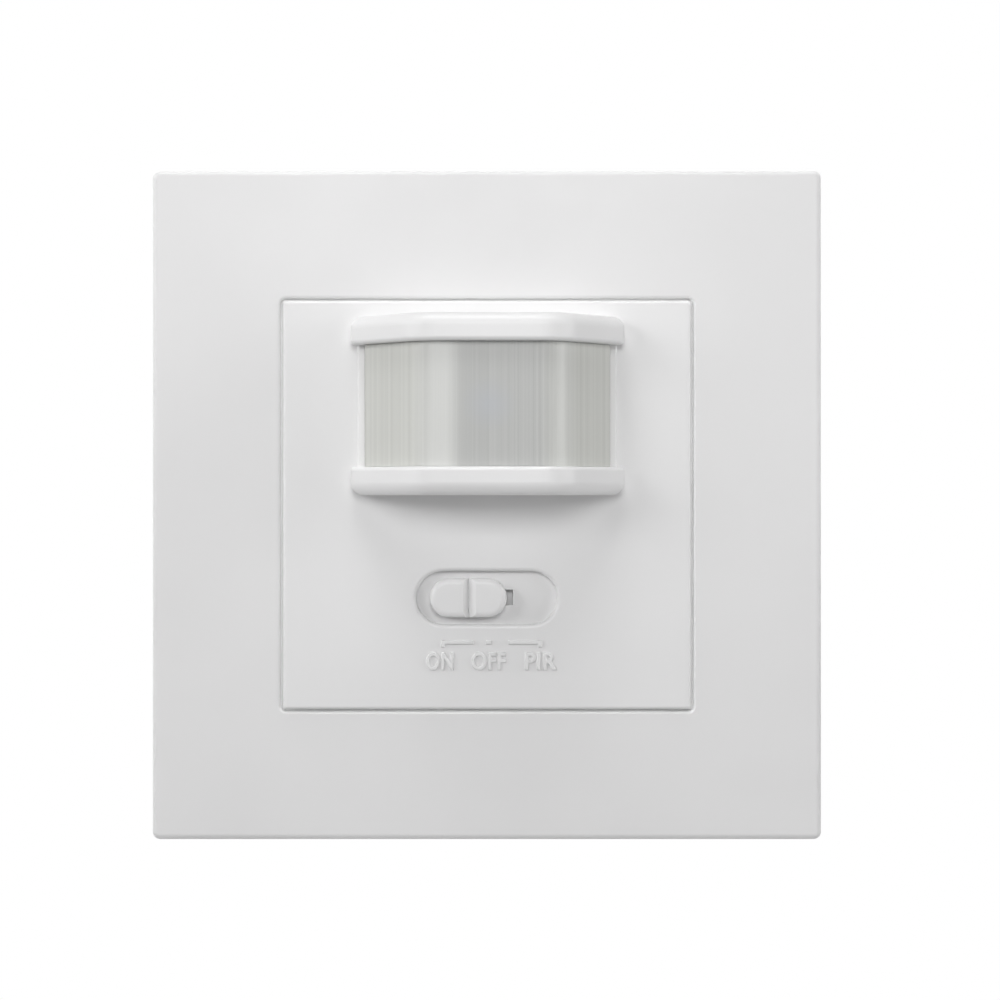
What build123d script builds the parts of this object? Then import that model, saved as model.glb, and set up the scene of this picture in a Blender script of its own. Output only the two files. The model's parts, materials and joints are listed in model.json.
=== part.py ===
from build123d import *
import math
import os

# Flush motion sensor switch. X points right as seen from the room, Z points up,
# and the room is on the -Y side. The wall plane is y = 0, and the origin is the
# middle between the two box screws.

# Wall plate
frame_width = 82.0
frame_height = 82.0
frame_depth = 10.5
frame_skin = 2.0
frame_side_wall = 2.0
frame_corner_radius = 0.9
frame_edge_radius = 0.7
frame_opening_radius = 0.35
collar_wall = 1.2
rib_thickness = 1.0
rib_shares = (-0.28, 0.28)
frame_clip_width = 4.0
frame_clip_thickness = 1.5
frame_clip_across_share = 0.564
frame_clip_rise_share = 0.32
frame_clip_short = 0.2

# Centre cover with the moulded sensor hood
cover_size = 50.0
cover_gap = 0.3
cover_proud = 0.3
cover_skin = 2.0
cover_corner_radius = 0.4
cover_edge_radius = 0.4
skirt_wall = 1.1
cover_flange = 1.0
cover_flange_reach = 0.4
ledge_gap = 0.15
skirt_back_gap = 3.0
snap_width = 6.0
snap_reach = 0.6
snap_height = 0.8

# Hood caps above and below the lens. The shares here and further down are shares of
# the cover's size, because the works behind it fill the same square.
hood_reach_share = 0.22
hood_half_width_share = 0.332
hood_flat_half_share = 0.13
hood_bend_radius_share = 0.108
hood_slant = 48.0
hood_end_radius = 1.2
cap_thickness = 3.4
cap_round = 1.5
cap_soft_edge = 0.5
window_bottom_share = 0.092
window_height_share = 0.298
side_rim_width = 0.9
side_rim_proud = 0.5
side_rim_round = 0.3

# Lens and the frame that holds it
cap_overhang = 1.7
lens_inset = 1.5
lens_wall = 0.8
lens_fit = 0.05
lens_flange = 1.5
lens_flange_thickness = 0.8
retainer_thickness = 0.8
retainer_rim = 1.0
retainer_ear = 3.2
stake_radius = 0.8
stake_stand = 0.4
stake_fit = 0.05

# Three position slide knob and its recess
recess_length = 17.2
recess_height = 6.5
recess_depth = 1.2
recess_floor = 1.0
recess_round = 0.5
knob_level_share = -0.227
knob_length = 9.4
knob_height = 4.75
knob_proud = 1.0
knob_float = 0.05
knob_round = 0.7
knob_travel = 4.6
groove_depth = 0.8
groove_steep = 0.65
groove_gentle = 0.9
pin_width = 1.5
pin_height = 1.6
pin_bite = 0.7
pin_fit = 0.1
slot_play = 0.15

# Slide switch under the knob
switch_length = 12.6
switch_width = 6.2
switch_height = 3.3
switch_sheet = 0.4
switch_base_thickness = 0.8
switch_room = 0.4
shutter_thickness = 0.16
shutter_gap = 0.1
shutter_length = 11.8
shutter_height = 3.4
slider_length = 6.4
slider_width = 4.8
slider_thickness = 1.6
slider_play = 0.1

# Sensor board
board_thickness = 1.6
board_play = 0.2
can_radius = 4.15
can_flange_radius = 4.6
can_flange = 0.6
can_height = 4.4
can_round = 0.5
can_window_width = 4.2
can_window_height = 3.2
can_window_thickness = 0.5
spacer_height = 1.3
spacer_bore = 3.2
sense_spacing = 9.5
photocell_radius = 2.5
photocell_height = 2.2
photocell_width = 4.2
led_radius = 1.5
led_collar_radius = 1.9
led_collar = 1.0
led_height = 4.4
trimmer_size = 6.4
trimmer_height = 3.0
trimmer_inset = 6.7
trimmer_level = -3.5
rotor_radius = 2.1
rotor_fit = 0.1
rotor_depth = 1.5
rotor_proud = 0.2
rotor_slot_width = 0.6
rotor_slot_depth = 0.7
chip_length = 8.6
chip_width = 3.9
chip_height = 1.5
chip_place_x = -8.0
chip_place_z = 6.0
chip_lead_span = 6.0
chip_lead_width = 0.45
chip_lead_pitch = 1.27
chip_lead_count = 7
chip_lead_height = 0.5

# Steel mounting strap
strap_edge_share = 0.72
strap_thickness = 1.2
strap_corner_cut = 7.0
strap_window_inset = 2.3
strap_window_radius = 1.5
box_pitch = 60.0
box_slot_radius = 1.7
box_slot_length = 7.4
strap_clip_play = 0.25

# Carrier in front of the strap
carrier_play = 0.2
carrier_wall = 1.5
carrier_base = 1.4
carrier_front_gap = 0.6
ledge_width = 1.2
snap_pocket_play = 0.15
boss_radius = 2.4
boss_rise = 0.8
boss_inset = 3.8
boss_wall_gap = 0.3
boss_window_gap = 0.1
board_notch_play = 0.4
tap_radius = 1.1
tap_clearance = 0.12
tap_fit = 0.03
tap_head_radius = 2.1
tap_head = 1.3
tap_bite = 6.0
tap_blind = 1.0

# Rear housing
housing_setback = 3.4
housing_overlap = 0.3
housing_bulge = 4.5
housing_depth = 30.0
housing_wall = 1.8
housing_round = 1.0
housing_boss_depth = 9.0
step_level_share = -0.244

# Power board
power_board_play = 0.5
power_board_stand = 2.0
post_radius = 1.6
post_spacing_share = 0.52
post_level_share = 0.04

# Parts on the power board
part_seat_gap = 0.3
relay_size_shares = (0.38, 0.304)
relay_place_shares = (-0.142, 0.24)
relay_depth = 15.3
relay_round = 0.5
film_size_shares = (0.12, 0.3)
film_place_shares = (0.124, 0.24)
film_depth = 12.0
film_round = 0.4
can_cap_radius_share = 0.076
can_cap_place_shares = (0.265, 0.112)
can_cap_length = 11.5
can_cap_round = 0.4
can_cap_groove = 0.35
can_cap_groove_level = 1.6
varistor_radius_share = 0.07
varistor_thickness_share = 0.068
varistor_place_shares = (0.272, 0.296)
varistor_round = 0.8
fuse_length_share = 0.18
fuse_place_shares = (-0.23, 0.012)
fuse_radius = 1.7
fuse_cap_radius = 1.9
fuse_cap_length = 1.5
diode_length_share = 0.092
diode_pitch_share = 0.072
diode_place_shares = (0.06, 0.012)
diode_radius = 1.3
diode_count = 4
regulator_place_shares = (0.284, -0.08)
regulator_width = 4.6
regulator_depth = 3.6
regulator_height = 4.6

# Pin row between the two boards
header_pitch = 2.54
header_count = 5
header_level_share = -0.092
header_height = 2.5
header_pin = 0.64
header_fit = 0.03
header_pin_past = 1.2

# Terminal block, clamps and screws
terminal_pitch = 8.4
terminal_count = 3
block_width = 26.4
block_bottom_share = -0.472
block_short = 0.4
block_front_wall = 2.2
cage_width = 5.6
cage_height = 6.0
cage_side = 0.9
cage_floor = 1.2
cage_rear = 1.4
cage_travel = 2.2
cage_play = 0.3
cage_tongue_gap = 0.2
cage_level_share = -0.36
wire_radius = 1.6
wire_lead_in = 0.5
tongue_width = 3.2
tongue_thickness = 0.8
tongue_ahead = 3.0
tongue_play = 0.2
tongue_short = 0.4
tongue_leg_level_share = -0.168
tongue_past = 1.0
clamp_screw_radius = 1.45
clamp_head_radius = 2.3
clamp_head = 1.7
clamp_head_fit = 0.2
clamp_web = 0.7
clamp_slot_width = 0.7
clamp_slot_depth = 0.8
peg_radius = 1.0
peg_length = 1.5
peg_spacing = 16.8
peg_level_share = -0.352

# Spreader claws, one on each side
pivot_gap = 2.1
pivot_y = 2.4
claw_level = -7.0
claw_sheet = 1.0
claw_inside = 4.6
claw_knuckle_radius = 1.5
claw_back = 1.3
claw_reach = 17.0
claw_web_start = 3.2
claw_web_end = 8.0
claw_tip = 3.0
claw_tooth_depth = 0.9
claw_tooth_count = 3
claw_waist = 2.0
prong_reach = 5.4
prong_start = 4.3
prong_end = 9.4
prong_slope = 2.4
nut_arm = 4.0
nut_depth = 7.0
claw_turn = 18.0
nut_radius = 1.9
nut_length = 4.2
trunnion_radius = 1.1
trunnion_length = 7.6
trunnion_play = 0.2
claw_screw_radius = 1.45
claw_screw_tip = 14.0
claw_head_radius = 2.45
claw_head = 1.9
claw_slot_width = 0.8
claw_slot_depth = 0.9
claw_pin_radius = 0.8
claw_pin_fit = 0.02
claw_bore_fit = 0.06
lug_thickness = 1.2
lug_gap = 0.3
lug_radius = 1.7

# Clearances shared by several pieces
seat_gap = 0.05
tapped_fit = 0.05
screw_hole_play = 0.2
overrun = 1.0
same_place = 0.001

# Planes across the wall, from the room to the back of the box
frame_front = -frame_depth
cover_front = frame_front - cover_proud
cover_back = cover_front + cover_skin
recess_front = cover_front + recess_depth
recess_back = recess_front + recess_floor
switch_front = recess_back + switch_room
board_front = switch_front + switch_height
board_back = board_front + board_thickness
strap_front = -strap_thickness
carrier_floor = strap_front - carrier_base
carrier_front = cover_back + carrier_front_gap
boss_front = board_front - boss_rise
skirt_back = strap_front - skirt_back_gap
lens_flange_back = cover_back + lens_flange_thickness
retainer_back = lens_flange_back + retainer_thickness
housing_floor = housing_depth - housing_wall
power_back = housing_floor - power_board_stand
power_front = power_back - board_thickness
tongue_front = power_front - tongue_ahead
tongue_back = tongue_front + tongue_thickness
cage_front = tongue_front - 2 * wire_radius - cage_floor
cage_back = tongue_back + cage_tongue_gap + cage_rear
step_depth = cage_front - block_front_wall
block_rear = housing_depth - block_short

# Sizes that follow from the cover: the hood, the lens and the knob
hood_reach = hood_reach_share * cover_size
hood_half_width = hood_half_width_share * cover_size
hood_flat_half = hood_flat_half_share * cover_size
hood_bend_radius = hood_bend_radius_share * cover_size
lens_half_width = hood_half_width - cap_overhang
window_bottom = window_bottom_share * cover_size
window_height = window_height_share * cover_size
window_top = window_bottom + window_height
window_middle = window_bottom + window_height / 2
knob_level = knob_level_share * cover_size
knob_rest = -knob_travel / 2

# The plate's inside, and the strap and posts that lie between it and the cover
opening_size = cover_size + 2 * cover_gap
ledge_opening = opening_size - 2 * cover_flange_reach
ledge_front = cover_front + cover_flange + ledge_gap
collar_half = opening_size / 2 + collar_wall
inner_half_width = frame_width / 2 - frame_side_wall
inner_half_height = frame_height / 2 - frame_side_wall
strap_half_width = collar_half + strap_edge_share * (inner_half_width - collar_half)
strap_half_height = collar_half + strap_edge_share * (inner_half_height - collar_half)
frame_clip_x = frame_clip_across_share * inner_half_width
frame_clip_z = collar_half + frame_clip_rise_share * (inner_half_height - collar_half)

# The tray and the housing behind the cover, and the screws that join them
carrier_size = cover_size - 2 * (skirt_wall + carrier_play)
trimmer_spacing = carrier_size - 2 * (carrier_wall + trimmer_inset)
housing_width = carrier_size - 2 * housing_setback
housing_height = carrier_size + 2 * housing_overlap
housing_circle_radius = housing_height / 2 + housing_bulge
boss_spacing_x = housing_width - 2 * boss_inset
boss_spacing_z = carrier_size - 2 * (carrier_wall + boss_radius + boss_wall_gap)
strap_window_width = housing_width - 2 * strap_window_inset
strap_window_height = boss_spacing_z - 2 * (boss_radius + boss_window_gap)
pivot_x = housing_width / 2 + pivot_gap

# Levels of the works in the housing
step_level = step_level_share * cover_size
header_level = header_level_share * cover_size
tongue_leg_level = tongue_leg_level_share * cover_size
block_bottom = block_bottom_share * cover_size
cage_level = cage_level_share * cover_size
peg_level = peg_level_share * cover_size
post_level = post_level_share * cover_size
post_spacing = post_spacing_share * cover_size


def span(middle, size):
    """The two ends of a size centred on a place."""
    return middle - size / 2, middle + size / 2


def block(x, y, z):
    """A box given by its two planes along each axis."""
    middle = Pos(sum(x) / 2, sum(y) / 2, sum(z) / 2)
    return middle * Box(x[1] - x[0], y[1] - y[0], z[1] - z[0])


def slab(sketch, y0, y1):
    """A sketch drawn in X and Z, made solid from y0 to y1."""
    return extrude(Plane.XZ.offset(-y1) * sketch, y1 - y0)


def tall(sketch, z0, z1):
    """A sketch drawn in X and Y, made solid from z0 to z1."""
    return extrude(Plane.XY.offset(z0) * sketch, z1 - z0)


def rod_x(radius, x0, x1, y=0, z=0):
    """A round bar along X."""
    return extrude(Plane.YZ.offset(x0) * (Pos(y, z) * Circle(radius)), x1 - x0)


def rod_y(radius, y0, y1, x=0, z=0):
    """A round bar along Y."""
    return slab(Pos(x, z) * Circle(radius), y0, y1)


def rod_z(radius, z0, z1, x=0, y=0):
    """A round bar along Z."""
    return tall(Pos(x, y) * Circle(radius), z0, z1)


def ring_face(points):
    """A flat face inside a closed run of straight lines."""
    return make_face(Polyline(points, close=True).edges())


def edges_at(part, axis, place):
    """Edges that lie wholly in the plane at this place along the axis."""
    found = []
    for edge in part.edges():
        box = edge.bounding_box()
        low = {Axis.X: box.min.X, Axis.Y: box.min.Y, Axis.Z: box.min.Z}[axis]
        high = {Axis.X: box.max.X, Axis.Y: box.max.Y, Axis.Z: box.max.Z}[axis]
        if max(abs(low - place), abs(high - place)) < same_place:
            found.append(edge)
    return found


def mirrored(part):
    """The same piece on the other side of the middle plane."""
    return mirror(part, about=Plane.YZ)


def both_sides(part):
    """A piece and its mirror image."""
    return part + mirrored(part)


def of_cover(shares):
    """Lengths from their shares of the cover's size."""
    return [share * cover_size for share in shares]


def group(pieces):
    """Separate solids that share one node."""
    return Compound(children=list(pieces))


def row(count, pitch):
    """Places of a centred row."""
    return [(number - (count - 1) / 2) * pitch for number in range(count)]


def boss_places():
    """The four screw places, seen from the front."""
    return [(x, z) for x in row(2, boss_spacing_x) for z in row(2, boss_spacing_z)]


def clip_places():
    """The four places where the plate's posts go through the strap."""
    return [(x, z) for x in row(2, 2 * frame_clip_x) for z in row(2, 2 * frame_clip_z)]


def stake_places():
    """The two pegs that hold the lens frame."""
    return row(2, 2 * lens_half_width + 2 * lens_flange + retainer_ear)


# Wall plate


def make_frame():
    """A shell with a stepped collar round the centre opening, ribs and four posts."""
    skin_back = frame_front + frame_skin
    opening_corner = cover_corner_radius + cover_gap

    body = slab(RectangleRounded(frame_width, frame_height, frame_corner_radius), frame_front, 0)
    body = fillet(edges_at(body, Axis.Y, frame_front), frame_edge_radius)
    body -= slab(Rectangle(2 * inner_half_width, 2 * inner_half_height), skin_back, overrun)
    collar = RectangleRounded(2 * collar_half, 2 * collar_half, opening_corner + collar_wall)
    body += slab(collar, skin_back, skirt_back)
    hole = RectangleRounded(opening_size, opening_size, opening_corner)
    body -= slab(hole, frame_front - overrun, ledge_front)
    body -= slab(Rectangle(ledge_opening, ledge_opening), frame_front, skirt_back + overrun)
    front_edges = edges_at(body, Axis.Y, frame_front)
    mouth = [edge for edge in front_edges if edge.bounding_box().max.X < collar_half]
    mouth = [edge for edge in mouth if edge.bounding_box().min.X > -collar_half]
    mouth = [edge for edge in mouth if abs(edge.center().Z) < collar_half]
    body = fillet(mouth, frame_opening_radius)

    depth = (skin_back, skirt_back)
    for side in (-1, 1):
        run = sorted((side * collar_half, side * inner_half_width))
        rise = sorted((side * collar_half, side * inner_half_height))
        for share in rib_shares:
            body += block(run, depth, span(share * frame_height, rib_thickness))
            body += block(span(share * frame_width, rib_thickness), depth, rise)
    post = Rectangle(frame_clip_width, frame_clip_thickness)
    for x, z in clip_places():
        body += slab(Pos(x, z) * post, skin_back, -frame_clip_short)
    return body


# Centre cover


def hood_plan(half_width, reach, bend_radius, end_radius):
    """A flat front with rounded shoulders and slanted sides, in X and Y, open to the cover."""
    turn = math.radians(hood_slant)
    corner = hood_flat_half + bend_radius * math.tan(turn / 2)
    top = cover_front - reach
    end = top + (half_width - corner) * math.tan(turn)
    base = cover_front + cover_skin / 2
    path = FilletPolyline(
        (-half_width, base),
        (-half_width, end),
        (-corner, top),
        (corner, top),
        (half_width, end),
        (half_width, base),
        radius=[end_radius, bend_radius, bend_radius, end_radius],
    )
    return make_face(path.edges() + [Line((half_width, base), (-half_width, base))])


def lens_plan(depth):
    """The hood's plan, drawn in by the lens's inset and by a depth below its face."""
    inset = lens_inset + depth
    return hood_plan(lens_half_width - depth, hood_reach - inset, hood_bend_radius - inset, 0)


def hood_cap(low, outer_is_top):
    """One cap of the hood, well rounded on its outer side and soft on the lens side."""
    high = low + cap_thickness
    plan = hood_plan(hood_half_width, hood_reach, hood_bend_radius, hood_end_radius)
    body = tall(plan, low, high)
    outer, inner = (high, low) if outer_is_top else (low, high)
    for place, radius in ((outer, cap_round), (inner, cap_soft_edge)):
        rim = edges_at(body, Axis.Z, place)
        rim = [edge for edge in rim if edge.bounding_box().min.Y < cover_front]
        body = fillet(rim, radius)
    return body


def side_rim():
    """The low lip beside the lens, rounded on its outer side."""
    inner = lens_half_width + lens_fit
    outer = inner + side_rim_width
    front = cover_front - side_rim_proud
    lip = block((inner, outer), (front, cover_front), (window_bottom, window_top))
    edges = [edge for edge in edges_at(lip, Axis.X, outer) if edge.center().Y < front + same_place]
    return fillet(edges, side_rim_round)


def snap_nose(level):
    """A catch inside the skirt's upper or lower wall, sloped on its leading side."""
    root = cover_size / 2 - skirt_wall
    tip = root - snap_reach
    points = [
        (skirt_back, level * root),
        (skirt_back - snap_height / 2, level * tip),
        (skirt_back - snap_height, level * tip),
        (skirt_back - snap_height, level * root),
    ]
    return extrude(Plane.YZ.offset(-snap_width / 2) * ring_face(points), snap_width)


def pin_slot():
    """The slot that the switch's pin travels in, in X and Z."""
    length = pin_width + knob_travel + 2 * slot_play
    return Pos(0, knob_level) * Rectangle(length, pin_height + 2 * slot_play)


def make_cover():
    """The plate with its skirt and catches, the sensor hood and the knob's recess."""
    inside = cover_size - 2 * skirt_wall
    flange_back = cover_front + cover_flange
    skirt_size = cover_size - 2 * cover_flange_reach
    body = slab(RectangleRounded(cover_size, cover_size, cover_corner_radius), cover_front, flange_back)
    body = fillet(edges_at(body, Axis.Y, cover_front), cover_edge_radius)
    body += slab(Rectangle(skirt_size, skirt_size), flange_back, skirt_back)
    body -= slab(Rectangle(inside, inside), cover_back, skirt_back + overrun)
    for level in (-1, 1):
        body += snap_nose(level)

    body += hood_cap(window_top, True)
    body += hood_cap(window_bottom - cap_thickness, False)
    body += both_sides(side_rim())
    window_width = 2 * (lens_half_width + lens_fit)
    through = (cover_front - side_rim_proud - overrun, cover_back + overrun)
    body -= block(span(0, window_width), through, (window_bottom, window_top))
    for x in stake_places():
        body += rod_y(stake_radius, cover_back, retainer_back + stake_stand, x, window_middle)

    pad = SlotOverall(recess_length + 2 * recess_floor, recess_height + 2 * recess_floor)
    body += slab(Pos(0, knob_level) * pad, cover_back, recess_back)
    recess = SlotOverall(recess_length, recess_height)
    body -= slab(Pos(0, knob_level) * recess, cover_front, recess_front)
    lip = edges_at(body, Axis.Y, cover_front)
    lip = [edge for edge in lip if abs(edge.center().Z - knob_level) < recess_height]
    lip = [edge for edge in lip if abs(edge.center().X) < recess_length]
    body = fillet(lip, recess_round)
    body -= slab(pin_slot(), recess_front - overrun, recess_back + overrun)
    return body


# Lens and the frame behind it


def make_lens():
    """One bent wall between the caps, with a flange behind the cover."""
    low = window_bottom + lens_fit
    high = window_top - lens_fit
    inside = 2 * (lens_half_width - lens_wall)
    flange_width = 2 * (lens_half_width + lens_flange)
    flange_height = window_height + 2 * lens_flange
    neck = (cover_front, lens_flange_back)
    body = tall(lens_plan(0), low, high)
    body += block(span(0, 2 * lens_half_width), neck, (low, high))
    flange = Pos(0, window_middle) * Rectangle(flange_width, flange_height)
    body += slab(flange, cover_back, lens_flange_back)
    body -= tall(lens_plan(lens_wall), low - overrun, high + overrun)
    far = (cover_front, lens_flange_back + overrun)
    body -= block(span(0, inside), far, (low - overrun, high + overrun))
    return body


def make_retainer():
    """A flat frame behind the lens flange, with an ear on each side for its peg."""
    width = 2 * (lens_half_width + lens_flange)
    height = window_height + 2 * lens_flange
    inside = 2 * (lens_half_width - lens_wall)
    outline = Rectangle(width, height)
    outline += SlotOverall(width + 2 * retainer_ear, retainer_ear)
    outline -= Rectangle(inside, window_height - 2 * retainer_rim)
    for x in stake_places():
        outline -= Pos(x, 0) * Circle(stake_radius + stake_fit)
    return slab(Pos(0, window_middle) * outline, lens_flange_back, retainer_back)


# Knob and slide switch


def make_knob():
    """A rounded slider with a thumb groove, and a socket for the switch's pin."""
    front = cover_front - knob_proud
    back = recess_front - knob_float
    above = front - groove_depth / 2
    body = slab(Pos(knob_rest, knob_level) * SlotOverall(knob_length, knob_height), front, back)
    body = fillet(edges_at(body, Axis.Y, front), knob_round)
    groove = ring_face([
        (knob_rest - 1.5 * groove_steep, above),
        (knob_rest, front + groove_depth),
        (knob_rest + 1.5 * groove_gentle, above),
    ])
    body -= tall(groove, *span(knob_level, 2 * knob_height))
    wide = span(knob_rest, pin_width + 2 * pin_fit)
    high = span(knob_level, pin_height + 2 * pin_fit)
    body -= block(wide, (back - pin_bite - pin_fit, back + overrun), high)
    return body


def make_switch_shell():
    """A bent metal lid, open towards the board."""
    outline = Pos(0, knob_level) * Rectangle(switch_length, switch_width)
    hollow_length = switch_length - 2 * switch_sheet
    hollow_width = switch_width - 2 * switch_sheet
    hollow = Pos(0, knob_level) * Rectangle(hollow_length, hollow_width)
    body = slab(outline, switch_front, board_front)
    body -= slab(hollow, switch_front + switch_sheet, board_front + overrun)
    body -= slab(pin_slot(), switch_front - overrun, switch_front + 2 * switch_sheet)
    return body


def make_switch_base():
    length = switch_length - 2 * (switch_sheet + slider_play)
    width = switch_width - 2 * (switch_sheet + slider_play)
    outline = Pos(0, knob_level) * Rectangle(length, width)
    return slab(outline, board_front - switch_base_thickness, board_front)


def make_switch_shutter():
    """A thin sheet on the pin, which hides the slot at both ends of the knob's travel."""
    outline = Pos(knob_rest, knob_level) * Rectangle(shutter_length, shutter_height)
    outline -= Pos(knob_rest, knob_level) * Rectangle(pin_width, pin_height)
    front = recess_back + shutter_gap
    return slab(outline, front, front + shutter_thickness)


def make_switch_slider():
    """The switch's carriage, with the pin that the knob takes along."""
    top = switch_front + switch_sheet + slider_play
    pin_end = recess_front - knob_float - pin_bite
    carriage = Pos(knob_rest, knob_level) * Rectangle(slider_length, slider_width)
    pin = Pos(knob_rest, knob_level) * Rectangle(pin_width, pin_height)
    return slab(carriage, top, top + slider_thickness) + slab(pin, pin_end, top)


# Sensor board and what it carries


def make_sensor_board():
    """A square board with a notch round each screw boss."""
    size = carrier_size - 2 * carrier_wall - 2 * board_play
    outline = Rectangle(size, size)
    for x, z in boss_places():
        outline -= Pos(x, z) * Circle(boss_radius + board_notch_play)
    return slab(outline, board_front, board_back)


def make_spacer():
    front = board_front - spacer_height
    body = rod_y(can_flange_radius, front, board_front, 0, window_middle)
    body -= rod_y(spacer_bore, front - overrun, board_front + overrun, 0, window_middle)
    return body


def make_can():
    """The infrared sensor's can, with a flange and a cut-out for its window."""
    base = board_front - spacer_height
    front = base - can_height
    body = rod_y(can_radius, front, base, 0, window_middle)
    body = fillet(edges_at(body, Axis.Y, front), can_round)
    body += rod_y(can_flange_radius, base - can_flange, base, 0, window_middle)
    window = Pos(0, window_middle) * Rectangle(can_window_width, can_window_height)
    body -= slab(window, front - overrun, front + can_window_thickness)
    return body


def make_can_window():
    front = board_front - spacer_height - can_height
    pane = Rectangle(can_window_width - 2 * lens_fit, can_window_height - 2 * lens_fit)
    return slab(Pos(0, window_middle) * pane, front, front + can_window_thickness)


def make_photocell():
    """A round light cell with two flats."""
    face = Circle(photocell_radius) & Rectangle(2 * photocell_radius, photocell_width)
    place = Pos(sense_spacing, window_middle)
    return slab(place * face, board_front - photocell_height, board_front)


def make_led():
    """A small lamp with a collar and a domed end."""
    dome = led_height - led_radius
    slant = led_radius * math.sqrt(2) / 2
    arc = ThreePointArc((led_radius, dome), (slant, dome + slant), (0, led_height))
    outline = Polyline(
        (0, led_height),
        (0, 0),
        (led_collar_radius, 0),
        (led_collar_radius, led_collar),
        (led_radius, led_collar),
        (led_radius, dome),
    )
    upright = revolve(make_face(outline.edges() + [arc]), Axis.Y)
    return Pos(-sense_spacing, board_front, window_middle) * Rot(180, 0, 0) * upright


def make_trimmer_body(x):
    front = board_front - trimmer_height
    outline = Pos(x, trimmer_level) * Rectangle(trimmer_size, trimmer_size)
    body = slab(outline, front, board_front)
    body -= rod_y(rotor_radius + rotor_fit, front - overrun, front + rotor_depth, x, trimmer_level)
    return body


def make_trimmer_rotor(x):
    """A turning disc with a pointer slot for a screwdriver."""
    front = board_front - trimmer_height - rotor_proud
    back = front + rotor_proud + rotor_depth - rotor_fit
    body = rod_y(rotor_radius, front, back, x, trimmer_level)
    cross = Rectangle(2 * rotor_radius - rotor_slot_width, rotor_slot_width)
    cross += Rectangle(rotor_slot_width, rotor_radius)
    body -= slab(Pos(x, trimmer_level) * cross, front - overrun, front + rotor_slot_depth)
    return body


def make_chip():
    """The controller, on the back of the sensor board, with its rows of legs."""
    across = span(chip_place_z, chip_width)
    body = block(span(chip_place_x, chip_length), (board_back, board_back + chip_height), across)
    for x in row(chip_lead_count, chip_lead_pitch):
        lead = span(chip_place_x + x, chip_lead_width)
        reach = span(chip_place_z, chip_lead_span)
        body += block(lead, (board_back, board_back + chip_lead_height), reach)
    return body


# Strap, carrier and housing


def strap_window():
    return RectangleRounded(strap_window_width, strap_window_height, strap_window_radius)


def make_strap():
    """The pressed plate with screw slots on all four sides and lugs for the claws."""
    right = strap_half_width
    top = strap_half_height
    across = right - strap_corner_cut
    up = top - strap_corner_cut
    outline = ring_face([
        (-across, -top), (across, -top), (right, -up), (right, up),
        (across, top), (-across, top), (-right, up), (-right, -up),
    ])
    outline -= strap_window()
    slot = SlotOverall(box_slot_length, 2 * box_slot_radius)
    for place in row(2, box_pitch):
        outline -= Pos(place, 0) * slot
        outline -= Pos(0, place) * Rot(0, 0, 90) * slot
    for x, z in boss_places():
        outline -= Pos(x, z) * Circle(tap_radius + tap_clearance)
    clip_width = frame_clip_width + 2 * strap_clip_play
    clip_thickness = frame_clip_thickness + 2 * strap_clip_play
    for x, z in clip_places():
        outline -= Pos(x, z) * Rectangle(clip_width, clip_thickness)
    for x in row(2, 2 * (pivot_x + nut_arm)):
        outline -= Pos(x, claw_level) * Circle(claw_screw_radius + screw_hole_play)
    body = slab(outline, strap_front, 0)

    lug = Pos(pivot_x, pivot_y) * Circle(lug_radius)
    stem_middle = (pivot_y + strap_front) / 2
    lug += Pos(pivot_x, stem_middle) * Rectangle(2 * lug_radius, pivot_y - strap_front)
    lug -= Pos(pivot_x, pivot_y) * Circle(claw_pin_radius + claw_pin_fit)
    near = claw_inside / 2 + claw_sheet + lug_gap
    far = near + lug_thickness
    for low, high in ((claw_level + near, claw_level + far), (claw_level - far, claw_level - near)):
        body += both_sides(tall(lug, low, high))
    return body


def make_carrier():
    """The tray in front of the strap that the cover snaps onto and the sensor board lies in."""
    inside = carrier_size - 2 * carrier_wall
    ledge = inside - 2 * ledge_width
    body = slab(Rectangle(carrier_size, carrier_size), carrier_front, strap_front)
    body -= slab(Rectangle(inside, inside), carrier_front - overrun, board_back)
    body -= slab(Rectangle(ledge, ledge), board_back - overrun, carrier_floor)
    body -= slab(strap_window(), carrier_floor - overrun, strap_front + overrun)
    for x, z in boss_places():
        body += rod_y(boss_radius, boss_front, strap_front, x, z)
        body -= rod_y(tap_radius + tap_clearance, boss_front - overrun, strap_front + overrun, x, z)
    root = cover_size / 2 - skirt_wall - snap_reach - snap_pocket_play
    wide = span(0, snap_width + 2 * snap_pocket_play)
    deep = (skirt_back - snap_height - snap_pocket_play, skirt_back + snap_pocket_play)
    for high in ((root, carrier_size), (-carrier_size, -root)):
        body -= block(wide, deep, high)
    return body


def make_carrier_screws():
    """Four screws that hold tray, strap and housing together."""
    screws = []
    for x, z in boss_places():
        top = boss_front - tap_head
        head = rod_y(tap_head_radius, top, boss_front, x, z)
        head = chamfer(edges_at(head, Axis.Y, top), tap_head / 3)
        screws.append(head + rod_y(tap_radius, boss_front, tap_bite, x, z))
    return group(screws)


def housing_outline(shrink=0):
    """The square that fits a round wall box, drawn in by a distance."""
    width = housing_width - 2 * shrink
    height = housing_height - 2 * shrink
    return Rectangle(width, height) & Circle(housing_circle_radius - shrink)


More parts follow.
